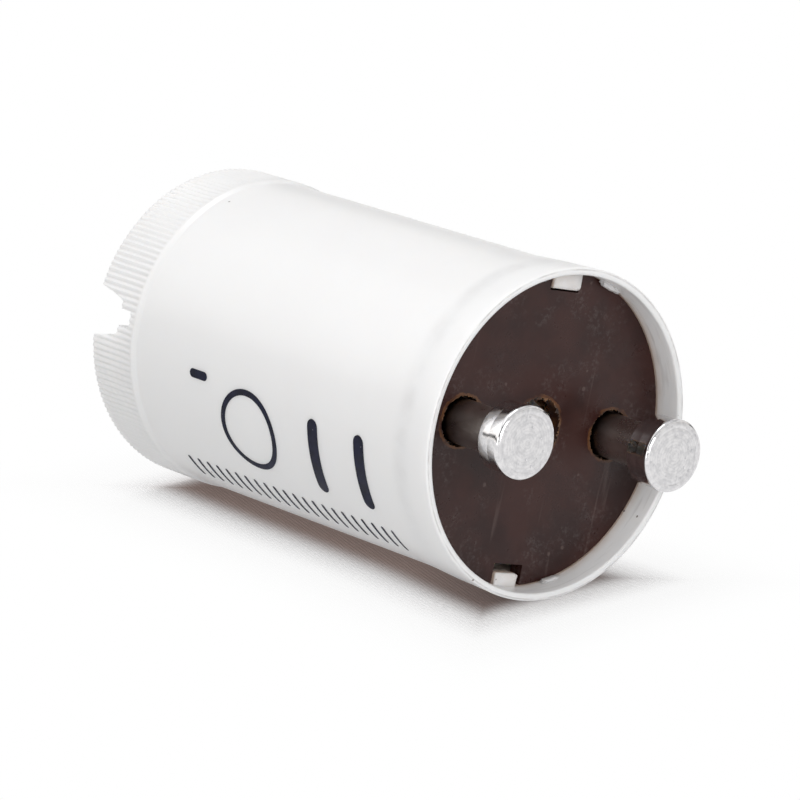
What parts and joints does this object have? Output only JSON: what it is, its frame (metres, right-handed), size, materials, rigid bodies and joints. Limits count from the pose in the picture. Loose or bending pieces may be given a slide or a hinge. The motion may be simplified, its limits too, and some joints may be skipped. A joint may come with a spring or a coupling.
{
  "type": "fluorescent starter",
  "caption": "Round white plastic canister with a ridged, slotted closed end and a recessed brown disc carrying headed contact pins.",
  "frame": {"origin": "middle of the closed end's face, at the bottom", "axes": "+Z along the canister from its closed end to the contact pins, +X through both pins, the keys and notches of the mouth on Y"},
  "size_m": [0.0214, 0.0214, 0.0391],
  "materials": {
    "canister_plastic": "smooth moulded polycarbonate, white, with a soft sheen",
    "base_disc": "phenolic paper board, dark brown, satin",
    "contact_pins": "turned, satin faces and bright sides",
    "solder": "dull solder",
    "tube_glass": "clear, fire-polished",
    "lead_in_wires": "copper-clad wire",
    "electrode_nickel": "drawn nickel",
    "bimetal": "rolled strip",
    "condenser_coating": "dipped resin coating, ochre",
    "condenser_leads": "tinned wire"
  },
  "bodies": {
    "root": {"canister": "canister_plastic", "base_disc": "base_disc", "left_contact_pin": "contact_pins", "right_contact_pin": "contact_pins", "left_solder_joint": "solder", "right_solder_joint": "solder", "glow_tube_glass": "tube_glass", "left_lead_in_wire": "lead_in_wires", "right_lead_in_wire": "lead_in_wires", "fixed_electrode": "electrode_nickel", "bimetal_strip": "bimetal", "condenser": "condenser_coating", "left_condenser_lead": "condenser_leads", "right_condenser_lead": "condenser_leads"}
  },
  "joints": []
}
